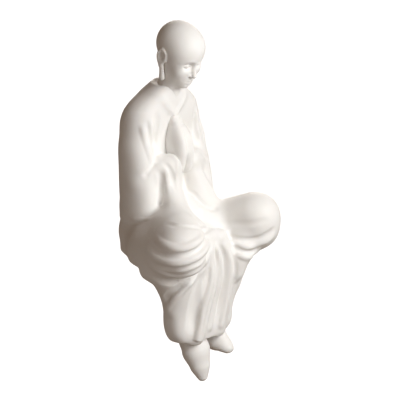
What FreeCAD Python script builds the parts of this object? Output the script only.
import FreeCAD, Part

import os
import re

import Sketcher
from FreeCAD import Placement, Rotation, Vector

# A seated robed figure with joined palms, slip-cast in separate pieces and luted together.
#
# Millimetres. The origin is on the seat's resting face, under the torso. +Z is up, the figure
# faces -Y, and +X is the figure's left. The seat rests on a ledge, and the skirt and the feet
# hang in front of the ledge's edge. Sizes are half sizes where the name says so, because most
# sections are ellipses.

DIMENSIONS = [
    # the cast shell and its joints
    ("wall", 4.0, "thickness of the cast shell"),
    ("lute", 0.2, "gap around a stub in its socket, which the slip fills"),
    ("stub_length", 7.0, "how far the neck's stub goes into its socket"),
    ("stub_step", 1.2, "shoulder between a stub and what it carries"),
    ("overcut", 1.0, "how far a cutting shape stands out past the face that it cuts"),
    ("vent_radius", 6.0, "hole in the seat, for draining slip and letting air out"),
    ("vent_forward", 11.0, "vent's centre in front of the origin"),
    # felt
    ("felt_thickness", 1.5, "felt under the seat"),
    ("felt_back_width", 46.0, "felt's width at the back"),
    ("felt_front_width", 60.0, "felt's width at the front"),
    ("felt_back", 12.0, "felt's back edge behind the origin"),
    ("felt_margin", 4.0, "felt's front edge behind the skirt's back"),
    ("felt_corner", 5.0, "radius of the felt's corners"),
    # seat and hips
    ("hip_half_width", 35.0, "widest half width of the hips"),
    ("hip_half_depth", 19.5, "half depth of the hips"),
    ("hip_back", 1.0, "hips' centre behind the origin"),
    ("hip_rise", 9.0, "widest hips above their lowest face"),
    ("seat_tuck", 5.0, "hips' sides tucked in at the seat"),
    ("footing_rim", 2.0, "hips' top around the torso's foot"),
    ("seam_height", 34.0, "joint between the upper and the lower robe, above the seat"),
    # thighs, knees and lap
    ("thigh_half_width", 19.0, "half width of a thigh at the hip"),
    ("thigh_half_height", 18.0, "half height of a thigh at the hip"),
    ("thigh_side", 17.5, "thigh's centre to the side, at the hip"),
    ("thigh_forward", 2.0, "thigh's start in front of the origin"),
    ("thigh_sink", 2.0, "how deep the seat's plane cuts into a thigh"),
    ("thigh_dip", 1.0, "thigh's middle below the straight line to the knee"),
    ("thigh_swell", 2.0, "extra half height at the thigh's middle"),
    ("knee_blend", 1.2, "thigh's end inside the knee"),
    ("knee_radius", 17.0, "radius of a knee"),
    ("knee_side", 38.6, "knee's centre to the side"),
    ("knee_forward", 55.0, "knee's centre in front of the origin"),
    ("knee_height", 26.5, "knee's centre above the seat"),
    ("lap_half_width", 32.0, "half width of the cloth between the thighs"),
    ("lap_half_height", 17.0, "half height of the lap"),
    ("lap_step", 1.0, "lap's top below the joint with the upper robe"),
    ("lap_spread", 4.0, "lap's widening from the hips to the ledge"),
    # skirt
    ("ledge_gap", 26.0, "skirt's back in front of the origin"),
    ("skirt_half_width", 50.0, "half width of the skirt below the knees"),
    ("skirt_half_depth", 16.0, "half depth of the skirt below the knees"),
    ("skirt_rounding", 3.0, "skirt's narrowing above and below its widest part"),
    ("skirt_fullness", 8.0, "skirt's widest part, above and below the seat's plane"),
    ("skirt_bend", 32.0, "start of the skirt's straight fall, below the seat"),
    ("hem_half_width", 31.0, "half width of the skirt at the hem"),
    ("hem_half_depth", 12.5, "half depth of the skirt at the hem"),
    ("hem_drop", 57.0, "hem below the seat"),
    ("hem_lip", 3.0, "thickness of the cloth's edge at the hem"),
    ("hem_recess", 8.0, "depth of the hollow inside the hem"),
    # torso
    ("waist_half_width", 32.0, "half width of the torso at the joint"),
    ("waist_half_depth", 16.0, "half depth of the torso at the joint"),
    ("waist_back", 3.0, "torso's centre behind the origin, at the joint"),
    ("chest_half_width", 29.0, "half width of the chest"),
    ("chest_half_depth", 15.0, "half depth of the chest"),
    ("chest_back", 5.0, "chest's centre behind the origin"),
    ("chest_height", 86.0, "chest above the seat"),
    ("chest_taper", 3.0, "torso's narrowing from the chest to the shoulders"),
    ("yoke_half_width", 19.0, "half width of the robe's yoke, under the collar"),
    ("yoke_half_depth", 12.0, "half depth of the robe's yoke"),
    ("neckline_height", 121.0, "neckline above the seat"),
    ("collar_thickness", 3.5, "cloth around the neck"),
    # sleeves
    ("shoulder_height", 102.0, "shoulder's centre above the seat"),
    ("shoulder_side", 24.0, "shoulder's centre to the side"),
    ("shoulder_radius", 9.0, "radius of a shoulder"),
    ("shoulder_rounding", 2.5, "sleeve's narrowing at the top of the shoulder"),
    ("sleeve_half_width", 11.0, "half width of the hanging sleeve"),
    ("sleeve_half_depth", 15.5, "half depth of the hanging sleeve"),
    ("sleeve_side", 27.0, "hanging sleeve's centre to the side"),
    ("sleeve_forward", 6.0, "hanging sleeve's centre in front of the origin, at its lower end"),
    ("sleeve_flare", 1.0, "extra half depth at the sleeve's lower end"),
    ("sleeve_clearance", 0.8, "between a sleeve's lower end and the thigh"),
    ("elbow_height", 57.0, "forearm's centre above the seat, at the elbow"),
    ("forearm_half_width", 9.0, "half width of the cloth around the elbow"),
    ("forearm_half_height", 10.5, "half height of the cloth around the elbow"),
    ("cuff_height", 68.0, "cuff's centre above the seat"),
    ("cuff_half_width", 7.5, "half width of the cuff"),
    ("cuff_half_height", 9.0, "half height of the cuff"),
    ("cuff_side", 9.0, "cuff's centre to the side"),
    ("fall_half_width", 8.5, "half width of the cloth that hangs from a cuff"),
    ("fall_half_depth", 6.5, "half depth of the cloth that hangs from a cuff"),
    ("fall_spread", 3.0, "how far that cloth widens and leans outwards"),
    # head
    ("neck_radius", 9.0, "radius of the neck"),
    ("neck_forward", 8.0, "neck's centre in front of the origin, at the neckline"),
    ("head_half_width", 15.5, "half width of the skull"),
    ("head_half_depth", 18.5, "half depth of the skull"),
    ("head_half_height", 19.5, "half height of the skull"),
    ("head_forward", 19.0, "skull's centre in front of the origin"),
    ("head_height", 148.5, "skull's centre above the seat"),
    ("jaw_half_width", 11.5, "half width of the jaw"),
    ("jaw_half_depth", 11.0, "half depth of the jaw"),
    ("jaw_half_height", 14.5, "half height of the jaw"),
    ("jaw_forward", 5.5, "jaw's centre in front of the skull's"),
    ("jaw_drop", 12.5, "jaw's centre below the skull's"),
    ("nose_reach", 2.4, "nose in front of the face"),
    ("nose_half_height", 5.0, "half height of the nose"),
    ("ear_half_height", 9.0, "half height of an ear with its long lobe"),
    ("ear_half_depth", 4.0, "half depth of an ear"),
    ("ear_sink", 1.0, "ear's plane inside the skull's side"),
    ("ear_back", 3.0, "ear's centre behind the skull's"),
    # hands
    ("palm_thickness", 6.6, "thickness of one hand"),
    ("palm_half_width", 8.0, "half width of a hand"),
    ("finger_thickness", 5.2, "thickness of one hand at the fingers"),
    ("hand_taper", 2.0, "hand's narrowing at the heel and at the fingers"),
    ("hand_lean", 4.0, "fingertips behind the heel of the hands"),
    ("knuckle_rise", 11.0, "widest part of the hands above their heel"),
    ("finger_rise", 25.0, "start of the fingers' taper above the heel"),
    ("hand_gap", 3.0, "between the chest and the hands"),
    ("hand_bottom", 59.0, "heel of the hands above the seat"),
    ("hand_length", 38.0, "heel of the hands to the fingertips"),
    ("wrist_radius", 4.5, "radius of a wrist's stub"),
    ("wrist_reach", 12.0, "end of a wrist's stub to the side"),
    # feet
    ("ankle_radius", 6.0, "radius of an ankle's stub"),
    ("foot_half_width", 8.2, "half width of a foot"),
    ("foot_half_thickness", 5.8, "half thickness of a foot at the instep"),
    ("heel_half_width", 6.0, "half width of a heel"),
    ("heel_half_height", 5.0, "half height of a heel"),
    ("heel_swell", 1.0, "extra half thickness at the hanging heel"),
    ("toe_half_width", 4.2, "half width of a foot at the toes"),
    ("toe_half_thickness", 2.8, "half thickness of a foot at the toes"),
    ("toe_lip", 0.2, "rounded toe's edge inside the foot's end"),
    ("toe_shift", 2.0, "toes' centre to the left of the ankle's"),
    ("instep_drop", 13.0, "right instep below the hem"),
    ("right_foot_side", 10.0, "right ankle's centre to the side"),
    ("right_foot_reach", 30.5, "right toes below the hem"),
    ("right_toe_forward", 8.0, "right toes in front of the ankle"),
    ("left_foot_side", 12.5, "left ankle's centre to the side"),
    ("left_sole_drop", 13.5, "left sole below the hem"),
    ("left_heel_back", 5.5, "left heel behind the ankle"),
    ("left_foot_length", 20.0, "left heel to left toes"),
]

NAMES = {alias for alias, _, _ in DIMENSIONS}

doc = FreeCAD.newDocument("seated_figure")
sizes = doc.addObject("Spreadsheet::Sheet", "sizes")
for row, (alias, number, note) in enumerate(DIMENSIONS, start=1):
    sizes.set(f"A{row}", alias)
    sizes.set(f"B{row}", str(number))
    sizes.set(f"C{row}", note)
    sizes.setAlias(f"B{row}", alias)
doc.recompute()

SUB_PARTS = []


# Expressions and plain shapes ---------------------------------------------------------------


def bound(text):
    """An expression in which each dimension's name stands for the sheet's cell."""
    return re.sub("[a-z_]+", lambda word: f"sizes.{word[0]}" if word[0] in NAMES else word[0], str(text))


def value(text):
    """The number that an expression has with the sheet's present sizes."""
    return float(sizes.evalExpression(bound(text)))


def place(solid, side, forward, height):
    """Binds a position: to the figure's left, in front of the origin, and above the seat."""
    solid.setExpression("Placement.Base.x", bound(side))
    solid.setExpression("Placement.Base.y", bound(f"-({forward})"))
    solid.setExpression("Placement.Base.z", bound(height))


def oval(name, half_across, half_other, side, forward, height, upright):
    """An ellipse that lies level, or stands and faces forward if it is upright."""
    section = doc.addObject("Part::Ellipse", name)
    wide = value(half_across) >= value(half_other)
    longer, shorter = (half_across, half_other) if wide else (half_other, half_across)
    turn = Rotation(Vector(0, 0, 1), 0 if wide else 90)
    if upright:
        turn = Rotation(Vector(1, 0, 0), 90).multiply(turn)
    section.Placement = Placement(Vector(), turn)
    section.setExpression("MajorRadius", bound(longer))
    section.setExpression("MinorRadius", bound(shorter))
    place(section, side, forward, height)
    return section


def loft(name, sections, upright=False):
    """A solid through ellipses, each (half across, half other, side, forward, height)."""
    solid = doc.addObject("Part::Loft", name)
    solid.Sections = [oval(f"{name}_{n}", *one, upright) for n, one in enumerate(sections)]
    solid.Solid = True
    return solid


def ellipsoid(name, half_width, half_depth, half_height, side, forward, height):
    """An ellipsoid from its three half sizes and its centre."""
    solid = doc.addObject("Part::Ellipsoid", name)
    solid.setExpression("Radius1", bound(half_height))
    solid.setExpression("Radius2", bound(half_width))
    solid.setExpression("Radius3", bound(half_depth))
    place(solid, side, forward, height)
    return solid


def drum(name, radius, side, forward, low, height):
    """An upright cylinder that stands on the height low."""
    solid = doc.addObject("Part::Cylinder", name)
    solid.setExpression("Radius", bound(radius))
    solid.setExpression("Height", bound(height))
    place(solid, side, forward, low)
    return solid


def wrist(name, radius):
    """A level cylinder from the middle plane out to the figure's right."""
    solid = drum(name, radius, "0", HAND_FORWARD, "cuff_height", "wrist_reach")
    solid.Placement.Rotation = Rotation(Vector(0, 1, 0), -90)
    return solid


def behind_skirt(name, front, low, high):
    """A block as wide as the figure, from a front face back past the figure's back."""
    solid = doc.addObject("Part::Box", name)
    solid.setExpression("Length", bound("4 * hip_half_width"))
    solid.setExpression("Width", bound(f"{front} + 3 * hip_half_depth"))
    solid.setExpression("Height", bound(f"{high} - ({low})"))
    place(solid, "-2 * hip_half_width", front, low)
    return solid


def mirrored(solid):
    """The same shape on the figure's left."""
    other = doc.addObject("Part::Mirroring", f"{solid.Name}_left")
    other.Source = solid
    other.Normal = Vector(1, 0, 0)
    return other


def both_sides(solids):
    """Each shape and its mirror image."""
    return solids + [mirrored(solid) for solid in solids]


def joined(name, solids):
    """One solid from several that overlap."""
    solid = doc.addObject("Part::MultiFuse", name)
    solid.Shapes = solids
    return solid


def without(name, base, tool):
    """The base with the tool's shape cut out of it."""
    solid = doc.addObject("Part::Cut", name)
    solid.Base = base
    solid.Tool = tool
    return solid


def grown(sections, by):
    """The same ellipses with both half sizes larger by an expression."""
    return [(f"{across} + {by}", f"{other} + {by}", *rest) for across, other, *rest in sections]


def moved(section, height):
    """The same ellipse at another height."""
    return (*section[:4], height)


def finished(solid, label):
    """Names a sub-part and puts it on the list of those to write."""
    solid.Label = label
    SUB_PARTS.append(solid)


# Places that several pieces share -----------------------------------------------------------

SEAT = "felt_thickness"
THIGH_HEIGHT = f"{SEAT} + thigh_half_height - thigh_sink"
THIGH_MIDDLE = "(thigh_half_height + knee_height) / 2 - thigh_dip"
THIGH_MIDDLE_HALF = "(thigh_half_height + knee_radius) / 2 + thigh_swell"
SLEEVE_LOW = f"{THIGH_MIDDLE} + {THIGH_MIDDLE_HALF} + sleeve_clearance"
LAP_MIDDLE = "seam_height - lap_half_height - lap_step"
SKIRT_MIDDLE = "ledge_gap + skirt_half_depth"
ANKLE_FORWARD = "ledge_gap + hem_half_depth"
HEM_FLOOR = "hem_recess - hem_drop"
COLLAR = "neck_radius + collar_thickness"
STUB_LOW = "neckline_height - stub_length"
HAND_TIP = "hand_bottom + hand_length"
HAND_FORWARD = "(chest_half_depth - chest_back + hand_gap + palm_half_width)"

HIPS = [
    ("hip_half_width - seat_tuck", "hip_half_depth - seat_tuck / 2", "0", "-hip_back", SEAT),
    ("hip_half_width", "hip_half_depth", "0", "-hip_back", f"{SEAT} + hip_rise"),
    ("waist_half_width + footing_rim", "waist_half_depth + footing_rim", "0", "-waist_back", "seam_height"),
]
THIGH = [
    ("thigh_half_width", "thigh_half_height", "-thigh_side", "thigh_forward", THIGH_HEIGHT),
    (
        "(thigh_half_width + knee_radius) / 2",
        THIGH_MIDDLE_HALF,
        "-(thigh_side + knee_side) / 2",
        "(thigh_forward + knee_forward) / 2",
        THIGH_MIDDLE,
    ),
    ("knee_radius - knee_blend", "knee_radius - knee_blend", "-knee_side", "knee_forward", "knee_height"),
]
LAP = [
    ("lap_half_width - lap_spread", "lap_half_height", "0", "-lap_spread", LAP_MIDDLE),
    ("lap_half_width", "lap_half_height", "0", "ledge_gap", LAP_MIDDLE),
    ("lap_half_width", "lap_half_height", "0", "knee_forward - lap_spread", f"{LAP_MIDDLE} - lap_step"),
]
SKIRT = [
    (
        "skirt_half_width - 2 * skirt_rounding",
        "skirt_half_depth - skirt_rounding",
        "0",
        SKIRT_MIDDLE,
        "knee_height",
    ),
    ("skirt_half_width", "skirt_half_depth", "0", SKIRT_MIDDLE, "skirt_fullness"),
    ("skirt_half_width - skirt_rounding", "skirt_half_depth", "0", SKIRT_MIDDLE, "-skirt_fullness"),
    (
        "(skirt_half_width + hem_half_width - skirt_rounding) / 2",
        "(skirt_half_depth + hem_half_depth) / 2",
        "0",
        "ledge_gap + (skirt_half_depth + hem_half_depth) / 2",
        "-skirt_bend",
    ),
    ("hem_half_width", "hem_half_depth", "0", ANKLE_FORWARD, "-hem_drop"),
]
TORSO = [
    ("waist_half_width", "waist_half_depth", "0", "-waist_back", "seam_height"),
    (
        "(waist_half_width + chest_half_width) / 2",
        "(waist_half_depth + chest_half_depth) / 2",
        "0",
        "-(waist_back + chest_back) / 2",
        "(seam_height + chest_height) / 2",
    ),
    ("chest_half_width", "chest_half_depth", "0", "-chest_back", "chest_height"),
    ("chest_half_width - chest_taper", "chest_half_depth", "0", "-chest_back", "shoulder_height"),
    ("yoke_half_width", "yoke_half_depth", "0", "neck_forward / 2", STUB_LOW),
    (COLLAR, COLLAR, "0", "neck_forward", "neckline_height"),
]
SLEEVE = [
    (
        "shoulder_radius - shoulder_rounding",
        "shoulder_radius - shoulder_rounding",
        "-shoulder_side",
        "0",
        "shoulder_height + shoulder_rounding",
    ),
    (
        "shoulder_radius",
        "shoulder_radius",
        "-(shoulder_side + sleeve_side) / 2",
        "0",
        "shoulder_height - shoulder_radius",
    ),
    (
        "(shoulder_radius + sleeve_half_width) / 2",
        "(shoulder_radius + sleeve_half_depth) / 2",
        "-sleeve_side",
        "sleeve_forward / 2",
        "(shoulder_height + elbow_height) / 2",
    ),
    (
        "sleeve_half_width",
        "sleeve_half_depth - sleeve_flare",
        "-sleeve_side",
        "sleeve_forward - sleeve_flare",
        "elbow_height",
    ),
    ("sleeve_half_width", "sleeve_half_depth", "-sleeve_side", "sleeve_forward", SLEEVE_LOW),
]
PALM = [
    (
        "palm_thickness / 2",
        "palm_half_width - hand_taper",
        "-palm_thickness / 2",
        HAND_FORWARD,
        "hand_bottom",
    ),
    (
        "palm_thickness / 2",
        "palm_half_width",
        "-palm_thickness / 2",
        f"{HAND_FORWARD} - hand_lean / 4",
        "hand_bottom + knuckle_rise",
    ),
    (
        "finger_thickness / 2",
        "palm_half_width - hand_taper",
        "-finger_thickness / 2",
        f"{HAND_FORWARD} - hand_lean / 2",
        "hand_bottom + finger_rise",
    ),
    (
        "finger_thickness / 4",
        "palm_half_width / 4",
        "-finger_thickness / 4",
        f"{HAND_FORWARD} - hand_lean",
        HAND_TIP,
    ),
]


# Sub-parts ----------------------------------------------------------------------------------


def lower_robe():
    """Hips, thighs, lap and skirt: one hollow casting with a flat seat and a recessed hem."""
    knee_place = ("-knee_side", "knee_forward", "knee_height")
    knee = ellipsoid("knee", "knee_radius", "knee_radius", "knee_radius", *knee_place)
    legs = both_sides([loft("thigh", THIGH, upright=True), knee])
    trunk = [loft("hips", HIPS), loft("lap", LAP, upright=True), loft("skirt", SKIRT)]
    outer = joined("lower_outer", trunk + legs)

    floor_and_ceiling = [moved(HIPS[0], f"{SEAT} + wall"), HIPS[1], moved(HIPS[2], "seam_height - wall")]
    inner_hips = grown(floor_and_ceiling, "-wall")
    inner_skirt = grown([*SKIRT[:-1], moved(SKIRT[-1], f"{HEM_FLOOR} + wall")], "-wall")
    knee_radius = "knee_radius - wall"
    inner_knee = ellipsoid("knee_core", knee_radius, knee_radius, knee_radius, *knee_place)
    inner_legs = both_sides([loft("thigh_core", grown(THIGH, "-wall"), upright=True), inner_knee])
    inner_trunk = [
        loft("hips_core", inner_hips),
        loft("lap_core", grown(LAP, "-wall"), upright=True),
        loft("skirt_core", inner_skirt),
    ]
    core = joined("lower_core", inner_trunk + inner_legs)
    seat_floor = behind_skirt("seat_floor", "ledge_gap + wall", "-hem_drop", f"{SEAT} + wall")
    shell = without("lower_shell", outer, without("lower_hollow", core, seat_floor))

    waist = ("0", "-waist_back")
    footing = ("waist_half_width + sleeve_clearance", "waist_half_depth + sleeve_clearance", *waist)
    mouth = ("waist_half_width - wall", "waist_half_depth - wall", *waist)
    hem = ("hem_half_width - hem_lip", "hem_half_depth - hem_lip", "0", ANKLE_FORWARD)
    openings = [
        behind_skirt("under_seat", "ledge_gap", "-hem_drop", SEAT),
        loft("torso_footing", [(*footing, "seam_height"), (*footing, "2 * seam_height")]),
        loft("torso_mouth", [(*mouth, "seam_height - 2 * wall"), (*mouth, "seam_height + wall")]),
        drum("vent", "vent_radius", "0", "vent_forward", "0", f"{SEAT} + 2 * wall"),
        loft("hem_hollow", [(*hem, "-hem_drop - overcut"), (*hem, HEM_FLOOR)]),
        ankle_socket("right_ankle_socket", "-right_foot_side"),
        ankle_socket("left_ankle_socket", "left_foot_side"),
    ]
    finished(without("lower_robe_solid", shell, joined("lower_openings", openings)), "lower_robe")


def ankle_socket(name, side):
    """The hole in the hem's floor that an ankle's stub goes into."""
    low = f"{HEM_FLOOR} - overcut"
    return drum(name, "ankle_radius + lute", side, ANKLE_FORWARD, low, "wall + 2 * overcut")


def upper_robe():
    """Torso and both sleeves: one hollow casting that stands on the lower robe."""
    shoulder = ["shoulder_radius"] * 3
    forearm = [
        ("forearm_half_width", "forearm_half_height", "-sleeve_side", "0", "elbow_height"),
        (
            "(forearm_half_width + cuff_half_width) / 2",
            "(forearm_half_height + cuff_half_height) / 2",
            "-(sleeve_side + cuff_side) / 2",
            f"{HAND_FORWARD} / 2",
            "(elbow_height + cuff_height) / 2",
        ),
        ("cuff_half_width", "cuff_half_height", "-cuff_side", HAND_FORWARD, "cuff_height"),
    ]
    fall_top = ("-cuff_side - fall_spread", HAND_FORWARD, "cuff_height")
    fall_low = ("-cuff_side - 2 * fall_spread", HAND_FORWARD, SLEEVE_LOW)
    fall = [
        ("fall_half_width - fall_spread", "fall_half_depth", *fall_top),
        ("fall_half_width", "fall_half_depth", *fall_low),
    ]
    side = [
        loft("sleeve", SLEEVE),
        ellipsoid("shoulder", *shoulder, "-shoulder_side", "0", "shoulder_height"),
        loft("forearm", forearm, upright=True),
        loft("cuff_fall", fall),
    ]
    outer = joined("upper_outer", [loft("torso", TORSO)] + both_sides(side))

    inner_torso = grown([*TORSO[:-2], moved(TORSO[-2], f"{STUB_LOW} + overcut")], "-wall")
    inner_sleeve = grown(SLEEVE[1:-1], "-wall")
    stub = "neck_radius - stub_step + lute"
    hollows = both_sides([loft("sleeve_core", inner_sleeve)])
    hollows += [
        loft("torso_core", inner_torso),
        drum("neck_socket", stub, "0", "neck_forward", STUB_LOW, "2 * stub_length"),
    ]
    palm_socket = loft("palm_socket", grown(PALM, "lute"))
    hollows += both_sides([palm_socket, wrist("wrist_socket", "wrist_radius + lute")])
    finished(without("upper_robe_solid", outer, joined("upper_hollows", hollows)), "upper_robe")


def hands():
    """Both hands, palm to palm, with a stub at each wrist: one small casting."""
    finished(joined("hands_solid", both_sides([loft("palm", PALM), wrist("wrist", "wrist_radius")])), "hands")


def head():
    """Skull, face, ears and neck: one hollow casting that is open at the neck's stub."""
    skull_place = ("0", "head_forward", "head_height")
    jaw_place = ("0", "head_forward + jaw_forward", "head_height - jaw_drop")
    nose_place = ("0", "head_forward + jaw_forward + jaw_half_depth - nose_reach", "head_height - jaw_drop")
    ear_place = ("ear_sink - head_half_width", "head_forward - ear_back", "head_height - ear_half_height")
    nape = ("0", "(neck_forward + head_forward) / 2", "head_height - head_half_height / 2")
    throat = ("0", "neck_forward", "neckline_height")
    neck = [("neck_radius", "neck_radius", *throat), ("neck_radius", "neck_radius", *nape)]
    stub = ("0", "neck_forward", STUB_LOW, "stub_length + 2")
    bore = ("0", "neck_forward", "neckline_height - 2 * stub_length", "2 * stub_length + overcut")
    outer = [
        ellipsoid("skull", "head_half_width", "head_half_depth", "head_half_height", *skull_place),
        ellipsoid("jaw", "jaw_half_width", "jaw_half_depth", "jaw_half_height", *jaw_place),
        ellipsoid("nose", "nose_reach", "2 * nose_reach", "nose_half_height", *nose_place),
        loft("neck", neck),
        drum("neck_stub", "neck_radius - stub_step", *stub),
    ]
    outer += both_sides([ellipsoid("ear", "nose_reach", "ear_half_depth", "ear_half_height", *ear_place)])
    skull_core = [f"head_half_{size} - wall" for size in ("width", "depth", "height")]
    inner = [
        ellipsoid("skull_core", *skull_core, *skull_place),
        loft("neck_core", grown(neck, "-wall")),
        drum("neck_bore", "neck_radius - wall - lute", *bore),
    ]
    finished(without("head_solid", joined("head_outer", outer), joined("head_core", inner)), "head")


def right_foot():
    """A foot that hangs with its toes down, and the ankle's stub."""
    side = "-right_foot_side"
    shank = "ankle_radius + stub_step"
    low = "toe_half_thickness - hem_drop - right_foot_reach"
    toe = ("toe_shift - right_foot_side", f"{ANKLE_FORWARD} + right_toe_forward", low)
    instep_forward = f"{ANKLE_FORWARD} + right_toe_forward / 2"
    instep = ("toe_shift / 2 - right_foot_side", instep_forward, "-hem_drop - instep_drop")
    toe_cap = ("toe_half_width - toe_lip", "toe_half_thickness - toe_lip", "toe_half_thickness")
    body = [
        (shank, shank, side, ANKLE_FORWARD, HEM_FLOOR),
        ("foot_half_width", "foot_half_thickness + heel_swell", side, ANKLE_FORWARD, "-hem_drop"),
        ("foot_half_width", "foot_half_thickness", *instep),
        ("toe_half_width", "toe_half_thickness", *toe),
    ]
    solids = [
        drum("right_ankle", "ankle_radius", side, ANKLE_FORWARD, HEM_FLOOR, "wall"),
        loft("right_foot_body", body),
        ellipsoid("right_toes", *toe_cap, *toe),
    ]
    finished(joined("right_foot_solid", solids), "right_foot")


def left_foot():
    """A foot that hangs level, and the ankle's stub."""
    sole = "-(hem_drop + left_sole_drop)"
    heel = f"{ANKLE_FORWARD} - left_heel_back"
    heel_top = f"{sole} + heel_half_height"
    ankle = ("left_foot_side", ANKLE_FORWARD)
    ball_half_height = "(foot_half_thickness + toe_half_thickness) / 2"
    body = [
        ("heel_half_width", "heel_half_height", "left_foot_side", heel, heel_top),
        (
            "(heel_half_width + foot_half_width) / 2",
            "foot_half_thickness",
            "left_foot_side + toe_shift / 3",
            f"{heel} + left_foot_length / 3",
            f"{sole} + foot_half_thickness",
        ),
        (
            "foot_half_width",
            ball_half_height,
            "left_foot_side + toe_shift * 2 / 3",
            f"{heel} + left_foot_length * 2 / 3",
            f"{sole} + {ball_half_height}",
        ),
        (
            "toe_half_width",
            "toe_half_thickness",
            "left_foot_side + toe_shift",
            f"{heel} + left_foot_length",
            f"{sole} + toe_half_thickness",
        ),
    ]
    solids = [
        drum("left_ankle", "ankle_radius", *ankle, HEM_FLOOR, "wall"),
        drum("left_shank", "ankle_radius + stub_step", *ankle, heel_top, f"{HEM_FLOOR} - ({heel_top})"),
        loft("left_foot_body", body, upright=True),
    ]
    finished(joined("left_foot_solid", solids), "left_foot")


def bind_sizes(sketch, constraints):
    """Adds named constraints to a sketch, each bound to an expression."""
    for name, constraint, expression in constraints:
        index = sketch.addConstraint(constraint)
        sketch.renameConstraint(index, name)
        sketch.setExpression(f"Constraints.{name}", bound(expression))


def sketch_on(body, plane, name):
    """An empty sketch on one of a body's planes."""
    sketch = body.newObject("Sketcher::SketchObject", name)
    sketch.AttachmentSupport = [(plane, "")]
    sketch.MapMode = "FlatFace"
    return sketch


def seat_felt():
    """Felt glued under the seat, with rounded corners and a hole over the vent."""
    body = doc.addObject("PartDesign::Body", "felt")
    plane = next(feature for feature in body.Origin.OriginFeatures if feature.Role == "XY_Plane")
    outline = sketch_on(body, plane, "felt_outline")
    back = value("felt_back")
    front = value("ledge_gap - felt_margin")
    back_half = value("felt_back_width / 2")
    front_half = value("felt_front_width / 2")
    corners = [
        Vector(-front_half, -front, 0),
        Vector(front_half, -front, 0),
        Vector(back_half, back, 0),
        Vector(-back_half, back, 0),
    ]
    for n, corner in enumerate(corners):
        outline.addGeometry(Part.LineSegment(corner, corners[(n + 1) % 4]))
    for n in range(4):
        outline.addConstraint(Sketcher.Constraint("Coincident", n, 2, (n + 1) % 4, 1))
    for n in (0, 2):
        outline.addConstraint(Sketcher.Constraint("Symmetric", n, 1, n, 2, -2))
    outline_sizes = [
        ("front_width", Sketcher.Constraint("DistanceX", 0, 1, 0, 2, 2 * front_half), "felt_front_width"),
        ("back_width", Sketcher.Constraint("DistanceX", 2, 2, 2, 1, 2 * back_half), "felt_back_width"),
        ("front_edge", Sketcher.Constraint("DistanceY", 0, 1, -1, 1, front), "ledge_gap - felt_margin"),
        ("back_edge", Sketcher.Constraint("DistanceY", -1, 1, 2, 1, back), "felt_back"),
    ]
    bind_sizes(outline, outline_sizes)
    pad = body.newObject("PartDesign::Pad", "felt_sheet")
    pad.Profile = outline
    pad.setExpression("Length", bound("felt_thickness"))
    doc.recompute()
    corner_edges = [
        f"Edge{n}"
        for n, edge in enumerate(pad.Shape.Edges, start=1)
        if abs(edge.Vertexes[0].Point.z - edge.Vertexes[1].Point.z) > value("felt_thickness / 2")
    ]
    rounding = body.newObject("PartDesign::Fillet", "felt_corners")
    rounding.Base = (pad, corner_edges)
    rounding.setExpression("Radius", bound("felt_corner"))
    hole_outline = sketch_on(body, plane, "felt_hole_outline")
    radius = value("vent_radius")
    forward = value("vent_forward")
    hole_outline.addGeometry(Part.Circle(Vector(0, -forward, 0), Vector(0, 0, 1), radius))
    hole_outline.addConstraint(Sketcher.Constraint("PointOnObject", 0, 3, -2))
    hole_sizes = [
        ("hole_radius", Sketcher.Constraint("Radius", 0, radius), "vent_radius"),
        ("hole_forward", Sketcher.Constraint("DistanceY", 0, 3, -1, 1, forward), "vent_forward"),
    ]
    bind_sizes(hole_outline, hole_sizes)
    hole = body.newObject("PartDesign::Pocket", "felt_hole")
    hole.Profile = hole_outline
    hole.Type = "ThroughAll"
    hole.Reversed = True
    finished(body, "seat_felt")


lower_robe()
upper_robe()
hands()
head()
right_foot()
left_foot()
seat_felt()
doc.recompute()

for thing in doc.Objects:
    if {"Invalid", "Error"} & set(thing.State):
        raise RuntimeError(f"{thing.Name} did not build: {thing.State}")
for solid in SUB_PARTS:
    if solid.Shape.isNull() or not solid.Shape.isValid():
        raise RuntimeError(f"{solid.Label} has no valid shape")

os.makedirs("parts", exist_ok=True)
for solid in SUB_PARTS:
    solid.Shape.exportStep(f"parts/{solid.Label}.step")
